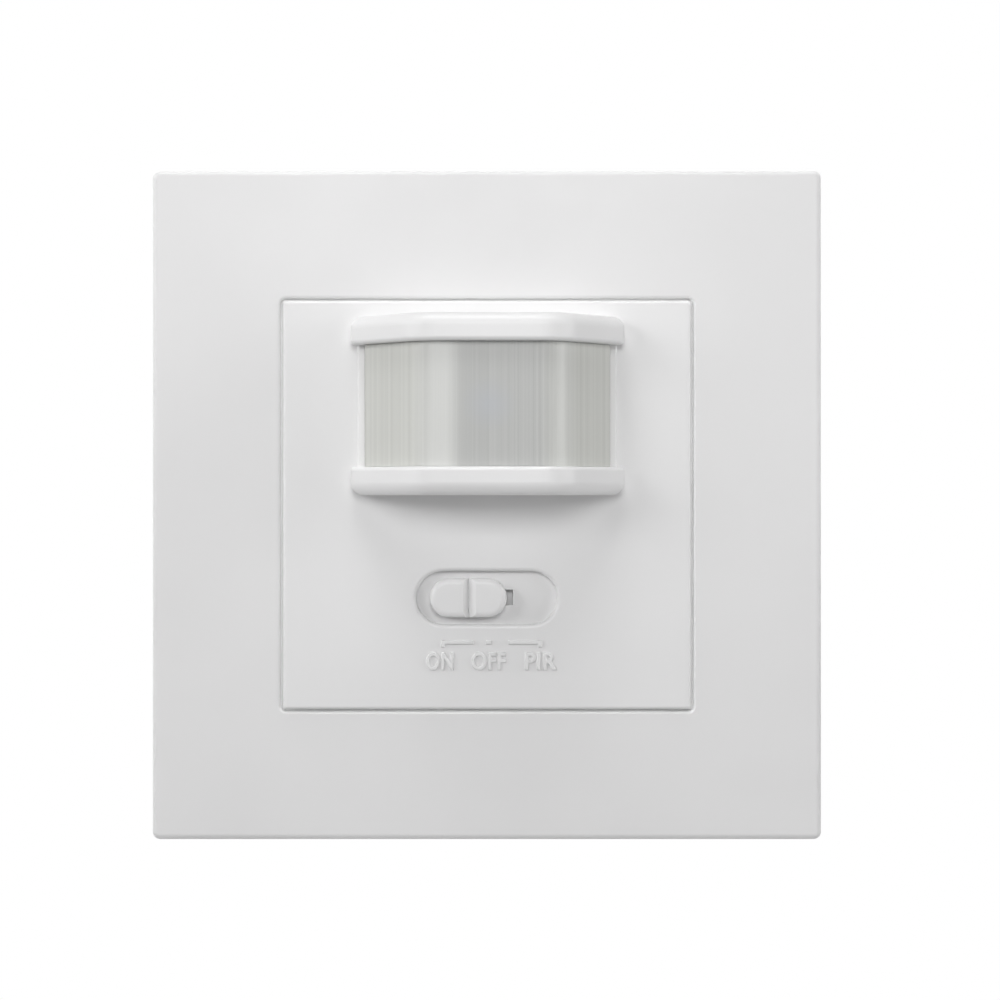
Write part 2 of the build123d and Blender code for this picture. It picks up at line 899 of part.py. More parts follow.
def make_housing():
    """A stepped shell, with bosses, board posts and room below for the terminal block."""
    far = housing_height
    body = slab(housing_outline(), 0, housing_depth)
    body = fillet(edges_at(body, Axis.Y, housing_depth), housing_round)
    shelf = (-far, step_level + housing_wall)
    beside = block((-far, far), (step_depth - housing_wall, housing_depth + overrun), shelf)
    body -= slab(housing_outline(housing_wall), -overrun, housing_floor) - beside
    body -= block((-far, far), (step_depth, housing_depth + overrun), (-far, step_level))
    inside = slab(housing_outline(), 0, housing_boss_depth)
    for x, z in boss_places():
        body += rod_y(boss_radius, 0, housing_boss_depth, x, z) & inside
        body -= rod_y(tap_radius + tap_fit, -overrun, tap_bite + tap_blind, x, z)
    for x in row(2, post_spacing):
        body += rod_y(post_radius, power_back, housing_floor, x, post_level)
    for x in row(terminal_count, terminal_pitch):
        body -= tongue_slot(x, step_level - overrun, step_level + housing_wall + overrun)
    for x in row(2, peg_spacing):
        wall = (step_depth - housing_wall - overrun, step_depth + overrun)
        body -= rod_y(peg_radius + seat_gap, *wall, x, peg_level)
    return body


def tongue_slot(x, z0, z1):
    """The passage for one contact tongue."""
    wide = span(x, tongue_width + 2 * tongue_play)
    return block(wide, (tongue_front - tongue_play, tongue_back + tongue_play), (z0, z1))


# Power board and its parts


def make_power_board():
    """The mains board, with slots for the contact tongues and holes for the pin row."""
    far = housing_height
    low = step_level + housing_wall + power_board_play
    outline = housing_outline(housing_wall + power_board_play)
    outline &= Pos(0, low + far / 2) * Rectangle(far, far)
    leg = tongue_leg_level + tongue_thickness / 2
    slot = Rectangle(tongue_width + 2 * tongue_play, tongue_thickness + 2 * tongue_play)
    for x in row(terminal_count, terminal_pitch):
        outline -= Pos(x, leg) * slot
    hole = header_pin + 2 * header_fit
    for x in row(header_count, header_pitch):
        outline -= Pos(x, header_level) * Rectangle(hole, hole)
    return slab(outline, power_front, power_back)


def boxed_part(size_shares, place_shares, depth, round_over):
    """A moulded block that stands on the power board, with a rounded front edge."""
    front = power_front - depth
    place = Pos(*of_cover(place_shares))
    body = slab(place * Rectangle(*of_cover(size_shares)), front, power_front)
    return fillet(edges_at(body, Axis.Y, front), round_over)


def make_can_capacitor():
    """An upright can with the rolled groove near its foot."""
    x, z = of_cover(can_cap_place_shares)
    can_cap_radius = can_cap_radius_share * cover_size
    front = power_front - can_cap_length
    body = rod_y(can_cap_radius, front, power_front, x, z)
    body = fillet(edges_at(body, Axis.Y, front), can_cap_round)
    low, high = span(power_front - can_cap_groove_level, 2 * can_cap_groove)
    ring = rod_y(can_cap_radius + overrun, low, high, x, z)
    ring -= rod_y(can_cap_radius - can_cap_groove, low - overrun, high + overrun, x, z)
    return body - ring


def make_varistor():
    """A dipped disc standing on edge."""
    x, z = of_cover(varistor_place_shares)
    radius = varistor_radius_share * cover_size
    ends = span(x, varistor_thickness_share * cover_size)
    body = rod_x(radius, *ends, power_front - part_seat_gap - radius, z)
    for place in ends:
        body = fillet(edges_at(body, Axis.X, place), varistor_round)
    return body


def make_fuse_resistor():
    """A lying resistor with two end caps."""
    x, z = of_cover(fuse_place_shares)
    y = power_front - part_seat_gap - fuse_cap_radius
    low, high = span(x, fuse_length_share * cover_size)
    body = rod_x(fuse_radius, low, high, y, z)
    body += rod_x(fuse_cap_radius, low, low + fuse_cap_length, y, z)
    body += rod_x(fuse_cap_radius, high - fuse_cap_length, high, y, z)
    return body


def make_diodes():
    x, z = of_cover(diode_place_shares)
    y = power_front - part_seat_gap - diode_radius
    ends = span(z, diode_length_share * cover_size)
    steps = row(diode_count, diode_pitch_share * cover_size)
    return group(rod_z(diode_radius, *ends, x + step, y) for step in steps)


def make_regulator():
    """A round-backed package with a flat face."""
    flat = Pos(0, (regulator_width - regulator_depth) / 2) * Rectangle(regulator_width, regulator_depth)
    face = Circle(regulator_width / 2) & flat
    place = Pos(*of_cover(regulator_place_shares))
    return slab(place * face, power_front - regulator_height, power_front)


def make_header(y0, y1):
    """A plastic strip that the pins go through."""
    outline = Rectangle(header_count * header_pitch, header_pitch)
    hole = header_pin + 2 * header_fit
    for x in row(header_count, header_pitch):
        outline -= Pos(x, 0) * Rectangle(hole, hole)
    return slab(Pos(0, header_level) * outline, y0, y1)


def make_header_pins():
    """Square pins that join the two boards."""
    pin = Rectangle(header_pin, header_pin)
    ends = (board_back + seat_gap, power_back + header_pin_past)
    return group(slab(Pos(x, header_level) * pin, *ends) for x in row(header_count, header_pitch))


# Terminal block


def make_terminal_block():
    """A block with a cell for each clamp, a wire entry below and a screw shaft behind."""
    cell_width = cage_width + 2 * cage_play
    cell_depth = (cage_front - cage_play, cage_back + cage_travel + cage_play)
    cell_height = span(cage_level, cage_height + 2 * cage_play)
    wire_y = tongue_front - wire_radius
    web = cell_depth[1] + clamp_web
    out = block_rear + overrun
    body = block(span(0, block_width), (step_depth, block_rear), (block_bottom, step_level))
    for x in row(terminal_count, terminal_pitch):
        body -= block(span(x, cell_width), cell_depth, cell_height)
        body -= rod_z(wire_radius, block_bottom - overrun, cage_level, x, wire_y)
        mouth = Cone(wire_radius + wire_lead_in, wire_radius, wire_lead_in)
        body -= Pos(x, wire_y, block_bottom + wire_lead_in / 2) * mouth
        body -= rod_y(clamp_screw_radius + screw_hole_play, cage_back, out, x, cage_level)
        body -= rod_y(clamp_head_radius + clamp_head_fit, web, out, x, cage_level)
        body -= tongue_slot(x, cage_level, step_level + overrun)
    for x in row(2, peg_spacing):
        body += rod_y(peg_radius, step_depth - peg_length, step_depth, x, peg_level)
    return body


def make_cage(x):
    """A rising clamp, open above and below, with a tapped rear wall."""
    low, high = span(cage_level, cage_height)
    hollow_depth = (cage_front + cage_floor, cage_back - cage_rear)
    body = block(span(x, cage_width), (cage_front, cage_back), (low, high))
    body -= block(span(x, cage_width - 2 * cage_side), hollow_depth, (low - overrun, high + overrun))
    body -= rod_y(clamp_screw_radius + tapped_fit, tongue_back, cage_back + overrun, x, cage_level)
    return body


def make_clamp_screw(x):
    """A slotted screw whose tip bears on the tongue."""
    seat = cage_back + cage_travel + cage_play + clamp_web + seat_gap
    end = seat + clamp_head
    head = rod_y(clamp_head_radius, seat, end, x, cage_level)
    slot = Pos(x, cage_level) * Rectangle(2 * clamp_head_radius + overrun, clamp_slot_width)
    head -= slab(slot, end - clamp_slot_depth, end + overrun)
    return head + rod_y(clamp_screw_radius, tongue_back + seat_gap, seat, x, cage_level)


def make_tongues():
    """Contact strips from the clamps up to the power board."""
    low = cage_level - cage_height / 2 + tongue_short
    leg = (tongue_leg_level, tongue_leg_level + tongue_thickness)
    strips = []
    for x in row(terminal_count, terminal_pitch):
        wide = span(x, tongue_width)
        strip = block(wide, (tongue_front, tongue_back), (low, leg[1]))
        strips.append(strip + block(wide, (tongue_front, power_back + tongue_past), leg))
    return group(strips)


# Spreader claws


def drawn_nut():
    """The nut's depth below the pivot once the claw has made its whole turn."""
    turn = math.radians(claw_turn)
    return (nut_depth - nut_arm * math.sin(turn)) / math.cos(turn)


def claw_side():
    """One leg of the claw in X and Y, measured from its pivot."""
    turn = math.radians(claw_turn)
    tooth = claw_tooth_depth
    teeth = []
    for number in range(claw_tooth_count):
        place = claw_reach - 2 * number * tooth
        teeth += [(claw_tip - tooth, place), (claw_tip, place - tooth)]
    face = ring_face([
        (-claw_back, 0),
        (-claw_back, claw_reach),
        *teeth,
        (claw_waist, prong_end + prong_slope),
        (prong_reach, prong_end),
        (prong_reach, prong_start),
        (claw_knuckle_radius, prong_start - prong_slope),
        (claw_knuckle_radius, 0),
    ])
    face += Circle(claw_knuckle_radius)
    face -= Circle(claw_pin_radius + claw_bore_fit)
    hook = trunnion_radius + trunnion_play
    inner = nut_arm * math.cos(turn) - drawn_nut() * math.sin(turn)
    face -= Pos(inner, nut_depth) * Circle(hook)
    face -= Pos(inner + prong_reach / 2, nut_depth) * Rectangle(prong_reach, 2 * hook)
    return face


def make_claw():
    """Two toothed legs joined by a web, folded from one sheet."""
    near = claw_inside / 2
    side = Pos(pivot_x, pivot_y) * claw_side()
    body = tall(side, claw_level + near, claw_level + near + claw_sheet)
    body += tall(side, claw_level - near - claw_sheet, claw_level - near)
    back = pivot_x - claw_back
    deep = (pivot_y + claw_web_start, pivot_y + claw_web_end)
    body += block((back, back + claw_sheet), deep, span(claw_level, claw_inside + claw_sheet))
    return body


def make_claw_nut():
    """A cross nut whose thin ends lie in the claw's hooks."""
    x = pivot_x + nut_arm
    y = pivot_y + nut_depth
    body = rod_z(nut_radius, *span(claw_level, nut_length), x, y)
    body += rod_z(trunnion_radius, *span(claw_level, trunnion_length), x, y)
    body -= rod_y(claw_screw_radius + tapped_fit, *span(y, 4 * nut_radius), x, claw_level)
    return body


def make_claw_screw():
    """A slotted screw that draws the nut towards the strap."""
    x = pivot_x + nut_arm
    seat = strap_front - seat_gap
    top = seat - claw_head
    head = rod_y(claw_head_radius, top, seat, x, claw_level)
    slot = Pos(x, claw_level) * Rectangle(2 * claw_head_radius + overrun, claw_slot_width)
    head -= slab(slot, top - overrun, top + claw_slot_depth)
    return head + rod_y(claw_screw_radius, seat, claw_screw_tip, x, claw_level)


def make_claw_pins():
    length = claw_inside + 2 * (claw_sheet + lug_gap + lug_thickness)
    pin = rod_z(claw_pin_radius, *span(claw_level, length), pivot_x, pivot_y)
    return group([pin, mirrored(pin)])


trimmer_left, trimmer_right = row(2, trimmer_spacing)

nodes = {
    "front_frame": make_frame(),
    "front_cover": make_cover(),
    "fresnel_lens": make_lens(),
    "lens_retainer": make_retainer(),
    "mode_knob": make_knob(),
    "switch_shell": make_switch_shell(),
    "switch_base": make_switch_base(),
    "switch_slider": make_switch_slider(),
    "switch_shutter": make_switch_shutter(),
    "sensor_board": make_sensor_board(),
    "sensor_spacer": make_spacer(),
    "sensor_can": make_can(),
    "sensor_window": make_can_window(),
    "photocell": make_photocell(),
    "indicator_led": make_led(),
    "time_trimmer_body": make_trimmer_body(trimmer_left),
    "time_trimmer_rotor": make_trimmer_rotor(trimmer_left),
    "light_trimmer_body": make_trimmer_body(trimmer_right),
    "light_trimmer_rotor": make_trimmer_rotor(trimmer_right),
    "controller_chip": make_chip(),
    "mounting_strap": make_strap(),
    "carrier": make_carrier(),
    "carrier_screws": make_carrier_screws(),
    "rear_housing": make_housing(),
    "power_board": make_power_board(),
    "relay": boxed_part(relay_size_shares, relay_place_shares, relay_depth, relay_round),
    "film_capacitor": boxed_part(film_size_shares, film_place_shares, film_depth, film_round),
    "can_capacitor": make_can_capacitor(),
    "varistor": make_varistor(),
    "fuse_resistor": make_fuse_resistor(),
    "rectifier_diodes": make_diodes(),
    "voltage_regulator": make_regulator(),
    "header_front": make_header(board_back, board_back + header_height),
    "header_rear": make_header(power_front - header_height, power_front),
    "header_pins": make_header_pins(),
    "terminal_block": make_terminal_block(),
    "terminal_tongues": make_tongues(),
    "claw_pins": make_claw_pins(),
}

for number, place in enumerate(row(terminal_count, terminal_pitch), start=1):
    nodes[f"terminal_cage_{number}"] = make_cage(place)
    nodes[f"terminal_screw_{number}"] = make_clamp_screw(place)

claw_pieces = {"claw": make_claw(), "claw_nut": make_claw_nut(), "claw_screw": make_claw_screw()}
for name, piece in claw_pieces.items():
    nodes[f"{name}_right"] = piece
    nodes[f"{name}_left"] = mirrored(piece)

os.makedirs("parts", exist_ok=True)
for name, shape in nodes.items():
    export_step(shape, f"parts/{name}.step")

print(len(nodes), "nodes")
print("nut pull", round(nut_depth - drawn_nut(), 4), "over", claw_turn, "degrees of claw")
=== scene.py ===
# %% [markdown]
# A motion sensor light switch, dressed for its photograph. The solid parts come from the
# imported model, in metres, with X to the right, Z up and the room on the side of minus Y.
# This lesson gives each part its finish, adds the small raised marks that a mould
# leaves, and sets the camera and the lamps.

import json
import math

import bmesh
import bpy
from mathutils import Matrix, Vector


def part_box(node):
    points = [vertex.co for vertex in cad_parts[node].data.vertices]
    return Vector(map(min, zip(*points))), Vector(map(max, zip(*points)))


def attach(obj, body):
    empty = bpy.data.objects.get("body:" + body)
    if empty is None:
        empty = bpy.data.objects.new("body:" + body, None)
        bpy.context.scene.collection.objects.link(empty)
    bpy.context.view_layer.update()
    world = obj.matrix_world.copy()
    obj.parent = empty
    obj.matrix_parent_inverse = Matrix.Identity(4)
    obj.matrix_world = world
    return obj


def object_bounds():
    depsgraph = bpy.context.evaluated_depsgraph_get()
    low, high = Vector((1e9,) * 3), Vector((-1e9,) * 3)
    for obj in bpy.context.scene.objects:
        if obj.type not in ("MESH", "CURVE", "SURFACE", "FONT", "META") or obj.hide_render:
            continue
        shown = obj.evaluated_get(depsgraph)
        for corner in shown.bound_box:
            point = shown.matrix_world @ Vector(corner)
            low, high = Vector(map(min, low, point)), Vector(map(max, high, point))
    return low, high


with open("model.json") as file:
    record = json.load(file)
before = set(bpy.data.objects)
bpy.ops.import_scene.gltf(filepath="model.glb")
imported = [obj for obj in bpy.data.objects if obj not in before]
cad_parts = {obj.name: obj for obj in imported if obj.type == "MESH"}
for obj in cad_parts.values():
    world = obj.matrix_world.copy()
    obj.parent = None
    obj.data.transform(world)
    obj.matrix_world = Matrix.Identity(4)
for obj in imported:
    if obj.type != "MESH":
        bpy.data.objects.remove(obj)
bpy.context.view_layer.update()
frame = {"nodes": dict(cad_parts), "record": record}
MM = 0.001

# %% [markdown]
# The camera. The photograph looks straight at the plate from a little over 30 cm: the
# hood's caps show how their edges bow towards the middle, which only a near lens does.
# A camera could also be tilted at the object, but then the plate's sides would lean, so
# it stays level and the frame is moved by the camera's own shift. The hood stands 2 or 3
# pixels to the right of the plate's middle, so the camera is a little to the left.

# %% Measure the view
IMAGE_PIXELS = 1000
PLATE_PIXELS = 669.5
PLATE_MIDDLE_PIXELS = (487.0, 505.0)
CAMERA_DISTANCE = 315 * MM
CAMERA_LEFT = 8.4 * MM
SENSOR_WIDTH = 36.0
NEAREST_SEEN = 10 * MM

plate_low, plate_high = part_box("front_frame")
plate_front = plate_low.y
view_width = (plate_high.x - plate_low.x) * IMAGE_PIXELS / PLATE_PIXELS
focal_length = SENSOR_WIDTH * CAMERA_DISTANCE / view_width
pixel = view_width / IMAGE_PIXELS
print("focal length", round(focal_length, 1), "mm; one pixel is", round(pixel / MM, 4), "mm")

# %% Place the camera
image_middle = IMAGE_PIXELS / 2
pixels_right, pixels_down = PLATE_MIDDLE_PIXELS
camera_data = bpy.data.cameras.new("camera")
camera_data.lens = focal_length
camera_data.sensor_width = SENSOR_WIDTH
camera_data.shift_x = (image_middle - pixels_right + CAMERA_LEFT / pixel) / IMAGE_PIXELS
camera_data.shift_y = (pixels_down - image_middle) / IMAGE_PIXELS
camera_data.clip_start = NEAREST_SEEN

camera = bpy.data.objects.new("camera", camera_data)
camera.location = (-CAMERA_LEFT, plate_front - CAMERA_DISTANCE, 0)
camera.rotation_euler = (math.radians(90), 0, 0)
bpy.context.scene.collection.objects.link(camera)
bpy.context.scene.camera = camera
bpy.context.scene.view_settings.view_transform = "Standard"
print("shift", round(camera_data.shift_x, 4), round(camera_data.shift_y, 4))

# %% [markdown]
# Nodes written as sums. A material's pattern is arithmetic on sockets, and long chains of
# nodes.new and links.new hide it. So a small class wraps a socket, and a plus sign adds a
# Math node. The reflected forms let a plain number stand first, as in 1 - mask.

# %% Wires that can be added and multiplied
class Wire:
    """One output socket, with the operators that patterns need."""

    def __init__(self, board, socket):
        self.board = board
        self.socket = socket

    def __add__(self, other):
        return self.board.math("ADD", self, other)

    def __sub__(self, other):
        return self.board.math("SUBTRACT", self, other)

    def __rsub__(self, other):
        return self.board.math("SUBTRACT", other, self)

    def __mul__(self, other):
        return self.board.math("MULTIPLY", self, other)

    __radd__ = __add__
    __rmul__ = __mul__

    def __abs__(self):
        return self.board.math("ABSOLUTE", self)


print("wires know plus, minus, times and abs")

# %% [markdown]
# The board is the node tree that the wires run on, of a material or of the world. Each
# kind of node could have a function of its own, but they all want the same three things:
# a type, its settings, and the values or wires of its sockets. So one method makes any
# node. The settings come first, because some of them change which sockets there are.

# %% The board that holds a node tree
class Board:
    """The node tree of a material or of the world, emptied."""

    def __init__(self, owner, output_kind):
        owner.use_nodes = True
        owner.node_tree.nodes.clear()
        self.owner = owner
        self.tree = owner.node_tree
        self.output_kind = output_kind

    def node(self, kind, settings, inputs, out=0):
        """Any node: its type, its settings, and the values or wires of its sockets."""
        made = self.tree.nodes.new(kind)
        for name, value in settings.items():
            setattr(made, name, value)
        for name, value in inputs.items():
            if isinstance(value, Wire):
                self.tree.links.new(value.socket, made.inputs[name])
            else:
                made.inputs[name].default_value = value
        return Wire(self, made.outputs[out]) if made.outputs else None

    def math(self, operation, *values):
        return self.node("ShaderNodeMath", {"operation": operation}, dict(enumerate(values)))

    def show(self, surface):
        """The owner, which now shows this surface."""
        self.node(self.output_kind, {}, {"Surface": surface})
        return self.owner


print("boards take any node")

# %% [markdown]
# Most finishes of this switch are built from the same few nodes: a place on the part, a
# noise on that place, a stretch of its values, and a blend of two colours by them. They
# read Object coordinates, which stay with the part when its body moves. A Math node would
# turn a colour grey, so colours are blended by a Mix node. It has sockets of the same
# names for numbers, vectors and colours, so those for colours are told by their number.

# %% Patterns that most finishes share
MIX_FACTOR, MIX_FIRST, MIX_SECOND, MIX_RESULT = 0, 6, 7, 2


class Surface(Board):
    """The board of a new material, with the nodes that its patterns need."""

    def __init__(self, name):
        super().__init__(bpy.data.materials.new(name), "ShaderNodeOutputMaterial")

    def place(self, scale=(1, 1, 1), middle=(0, 0, 0)):
        """Object coordinates, moved so that middle is the pattern's zero."""
        found = self.node("ShaderNodeTexCoord", {}, {}, "Object")
        shift = [-distance * size for distance, size in zip(middle, scale)]
        sockets = {"Vector": found, "Location": shift, "Scale": scale}
        return self.node("ShaderNodeMapping", {}, sockets)

    def parts(self, vector):
        """The three parts of a vector or of a colour."""
        first = self.node("ShaderNodeSeparateXYZ", {}, {"Vector": vector})
        return [Wire(self, socket) for socket in first.socket.node.outputs]

    def noise(self, scale, detail=3.0, roughness=0.5, stretch=(1, 1, 1)):
        """Cloudy values about a half; scale is in patches a metre."""
        sockets = {"Scale": scale, "Detail": detail, "Roughness": roughness}
        sockets["Vector"] = self.place(stretch)
        return self.node("ShaderNodeTexNoise", {"noise_dimensions": "3D"}, sockets, "Fac")

    def spread(self, value, low, high, to_low=0.0, to_high=1.0, easing="LINEAR"):
        """Values from low to high, drawn out and held at the ends."""
        settings = {"clamp": True, "interpolation_type": easing}
        sockets = {"Value": value, "From Min": low, "From Max": high}
        sockets.update({"To Min": to_low, "To Max": to_high})
        return self.node("ShaderNodeMapRange", settings, sockets)

    def blend(self, factor, first, second):
        """One colour where the factor is 0, the other where it is 1."""
        settings = {"data_type": "RGBA", "clamp_factor": True}
        sockets = {MIX_FACTOR: factor, MIX_FIRST: first, MIX_SECOND: second}
        return self.node("ShaderNodeMix", settings, sockets, MIX_RESULT)

    def bump(self, height, distance, strength=1.0):
        sockets = {"Height": height, "Distance": distance, "Strength": strength}
        return self.node("ShaderNodeBump", {}, sockets)

    def shader(self, **sockets):
        """The material in one shader; an underscore in a name stands for a space."""
        named = {name.replace("_", " "): value for name, value in sockets.items()}
        return self.show(self.node("ShaderNodeBsdfPrincipled", {}, named))


print("surfaces are ready for their patterns")

# %% Colours
NOISE_SPAN = (0.3, 0.7)  # a noise lies mostly between these, so it is drawn out from them
CLOUD_SPAN = (0.35, 0.65)


def tint(red, green, blue):
    """A colour with full cover."""
    return (red, green, blue, 1.0)


def grey(level):
    return tint(level, level, level)


def darker(colour, share):
    return tint(*(part * share for part in colour))


print("half of white is", darker((1, 1, 1), 0.5))

# %% [markdown]
# The seam round the cover. It is a soft grey line in the photograph, not a black one:
# white resin lets some light through its thin rims. Light under the skin would take twice
# the rendering, so that light is painted: the walls inside the seam get a whiter colour,
# painted light that does the same there. The seam is a square, and the larger of the two
# distances from the middle is the same all along a square, so it tells how near a point is.

# %% Painted light on the walls inside the seam
SEAM_OUTSIDE_COVER = 0.1 * MM
SEAM_HALF_WIDTH = (0.9 * MM, 1.1 * MM)
SEAM_START_DEPTH = 0.2 * MM
# The whiter colour of the seam's walls is painted light.
SEAM_PAINTED_LIGHT = grey(0.97)
cover_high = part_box("front_cover")[1]
seam_reach = cover_high.x + SEAM_OUTSIDE_COVER


def seam_painted_light(board, base):
    """The base colour with painted light: whiter behind the plate's front where the seam is near.
    """
    across, deep, up = board.parts(board.place())
    reach = board.math("MAXIMUM", abs(across), abs(up))
    inside = board.spread(deep, plate_front, plate_front + SEAM_START_DEPTH)
    off_seam = abs(reach - seam_reach)
    near = board.spread(off_seam, *SEAM_HALF_WIDTH, to_low=1.0, to_high=0.0)
    return board.blend(inside * near, base, SEAM_PAINTED_LIGHT)


print("the seam runs", round(seam_reach / MM, 2), "mm from the middle")

# %% [markdown]
# Moulded plastic. The plate, the cover and the knob are off-white ABS from polished
# moulds with a fine spark texture: the sheen is soft, and a lamp leaves a wide, weak
# highlight. The finish could be one grey-white, but real mouldings vary a little where
# the melt cooled, and their skin is faintly pitted. So two noises, one of centimetres for
# the tone and one of tenths of a millimetre for the skin, feed colour, roughness and bump.

# %% Satin plastic
PLASTIC_IOR = 1.5
SMOOTHER, ROUGHER = 0.03, 0.04  # how far the roughness strays to each side
RUBS_PER_CLOUD = 4


def satin_plastic(name, colour, dark=0.965, rough=0.42, skin=0.004, grain=5200.0,
                  tone=38.0, seam=False):
    """Moulded plastic with a fine spark-textured skin.

    dark is the share of the colour that the darkest clouds keep, and skin the depth of the
    pits in mm. grain counts the pits in a metre, and tone the clouds. seam adds painted light
    to the walls inside the seam.
    """
    board = Surface(name)
    cloud = board.spread(board.noise(tone, detail=2.0), *CLOUD_SPAN)
    base = board.blend(cloud, darker(colour, dark), tint(*colour))
    if seam:
        base = seam_painted_light(board, base)
    rubs = board.noise(RUBS_PER_CLOUD * tone)
    rubbed = board.spread(rubs, *NOISE_SPAN, rough - SMOOTHER, rough + ROUGHER)
    pits = board.bump(board.noise(grain, detail=2.0, roughness=0.6), skin * MM)
    return board.shader(Base_Color=base, Roughness=rubbed, Normal=pits, IOR=PLASTIC_IOR)


print("plastic bends light by", PLASTIC_IOR)

# %% Finishes of the visible white pieces
SHELL_COLOUR = (0.782, 0.779, 0.781)
COVER_COLOUR = (0.801, 0.799, 0.801)
KNOB_COLOUR = (0.826, 0.824, 0.826)

finishes = {
    # The plate and the cover get painted light on the walls inside their seam.
    "white_shell": satin_plastic("white_shell", SHELL_COLOUR, seam=True),
    "white_cover": satin_plastic("white_cover", COVER_COLOUR, rough=0.36, seam=True),
    "white_knob": satin_plastic("white_knob", KNOB_COLOUR, rough=0.34),
}
print("white pieces:", ", ".join(finishes))

# %% [markdown]
# The lens. It is a thin film of milky polyethylene with upright facets moulded into its
# inner face, so the light breaks into upright streaks: the facets are wide bands, and
# finer lines run within each. Clear glass would show the circuit behind it, and a flat
# white would look painted. A film that lets light through would take far longer to render
# and look the same from here. So the milk is solid, and carries its streaks in colour and
# in bump, and its light and shade are painted into the colour: painted shade in the
# middle, where one looks straight in, a painted highlight along each fold, painted shade
# at the ends, and the sensor's window behind the film as a soft blue-grey spot of painted
# shade.

# %% Measure the lens
lens_low, lens_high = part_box("fresnel_lens")
can_low, can_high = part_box("sensor_can")
can_middle = (can_low + can_high) / 2
FACET_WIDTH = 2.9 * MM
LINE_WIDTH = 0.42 * MM
LINE_SHARE = 0.75
STREAK_SPAN = (0.34, 0.66)
# The milk is painted darker in the middle, where one looks straight in, and lighter on the
# slanted sides: painted shade and painted light.
MIDDLE_MILK_PAINTED_DARKER = (tint(0.415, 0.42, 0.41), tint(0.48, 0.485, 0.475))
OUTER_MILK_PAINTED_LIGHTER = (tint(0.535, 0.54, 0.512), tint(0.60, 0.605, 0.575))
MIDDLE_REACH = (5.5 * MM, 9.8 * MM)
print("lens is", round((lens_high.x - lens_low.x) / MM, 1), "mm wide behind its window")

# %% Painted highlights on the folds, painted shade at the ends and on the sensor's spot
# Each fold carries a painted highlight, given as its place, its reach and its strength.
FOLDS = ((-6.0 * MM, 3.2 * MM, 0.8), (8.6 * MM, 2.6 * MM, 0.5))  # place, reach, strength
FOLD_CORE = 0.2
FOLD_PAINTED_HIGHLIGHT = tint(0.68, 0.685, 0.665)
# The film's two ends get painted shade.
END_SPAN = (lens_high.x - 0.45 * MM, lens_high.x - 0.1 * MM)
END_STRENGTH = 0.5
END_PAINTED_SHADE = tint(0.2, 0.2, 0.19)
# The sensor's window behind the film is painted in as a soft spot of painted shade.
SPOT_REACH = (0.4 * MM, 3.4 * MM)
SPOT_STRENGTH = 0.5
SPOT_PAINTED_SHADE = tint(0.43, 0.45, 0.49)
RIDGE_DEPTH = 0.05 * MM
print("folds at", [round(place / MM, 1) for place, reach, strength in FOLDS], "mm")


# %% Milky film with upright streaks, painted light and painted shade
def upright_streaks(board, across, width, detail, roughness):
    """Noise along one line only, so that its patches become upright streaks."""
    sockets = {"W": across, "Scale": 1 / width, "Detail": detail, "Roughness": roughness}
    return board.node("ShaderNodeTexNoise", {"noise_dimensions": "1D"}, sockets, "Fac")


def lens_film():
    """Milk in streaks, with painted shade in its middle, at its ends and on the
    sensor's window behind it, and painted highlights on its folds.
    """
    board = Surface("lens_film")
    across = board.parts(board.place())[0]
    outward = abs(across)
    lines = upright_streaks(board, across, LINE_WIDTH, detail=3.0, roughness=0.65)
    facets = upright_streaks(board, across, FACET_WIDTH, detail=1.0, roughness=0.5)
    streaks = board.spread(LINE_SHARE * lines + (1 - LINE_SHARE) * facets, *STREAK_SPAN)
    # Painted shade in the middle of the film, painted light towards its sides.
    outer = board.spread(outward, *MIDDLE_REACH, easing="SMOOTHSTEP")
    middle_milk_painted_darker = board.blend(streaks, *MIDDLE_MILK_PAINTED_DARKER)
    outer_milk_painted_lighter = board.blend(streaks, *OUTER_MILK_PAINTED_LIGHTER)
    milk = board.blend(outer, middle_milk_painted_darker, outer_milk_painted_lighter)
    # A painted highlight along each fold.
    for place, reach, strength in FOLDS:
        off_fold = abs(across - place)
        glow = board.spread(off_fold, FOLD_CORE * reach, reach, strength, 0.0, "SMOOTHSTEP")
        milk = board.blend(glow, milk, FOLD_PAINTED_HIGHLIGHT)
    # Painted shade at the film's ends.
    end = board.spread(outward, *END_SPAN, to_high=END_STRENGTH)
    milk = board.blend(end, milk, END_PAINTED_SHADE)
    # The sensor's window behind the film, painted in as a spot of painted shade.
    from_can = board.place(scale=(1, 0, 1), middle=(can_middle.x, 0, can_middle.z))
    distance = board.node("ShaderNodeVectorMath", {"operation": "LENGTH"}, {0: from_can}, "Value")
    spot = board.spread(distance, *SPOT_REACH, SPOT_STRENGTH, 0.0)
    colour = board.blend(spot, milk, SPOT_PAINTED_SHADE)
    ridges = board.bump(lines, RIDGE_DEPTH, strength=0.5)
    return board.shader(Base_Color=colour, Roughness=0.34, Normal=ridges, IOR=PLASTIC_IOR)


finishes["lens_film"] = lens_film()
print("film with", len(FOLDS), "folds")

# %% [markdown]
# Metals of the hidden works. Behind the plate sit a steel strap, claws and screws with a
# bright zinc coat, and brass clamps. They show from behind and from the sides, so each
# gets the finish of its trade. Zinc freezes in flat crystals, each turned a little and so
# of its own grey. A cloud of noise would look like mist on the metal; cells with one
# random value each look like the crystals do. Faint drawn lines go over them, and they
# are crowded along one axis by a stretch. Brass has no crystals, and dulls in patches.

# %% Zinc coat
DRAWN_LINES = 900.0  # in a metre
LINE_DEPTH = 0.01 * MM
LINE_WEAR = 0.6  # the lines' share of the wear; the crystals have the rest
CRYSTAL_SHARE = 0.65  # of the tone; a cloud over several crystals has the rest
CRYSTAL_SHADOW = 0.72
CLOUD_FINENESS = 0.4  # of the crystals'
WEAR_SPAN = (0.2, 0.8)
BRIGHTER, DULLER = 0.06, 0.14


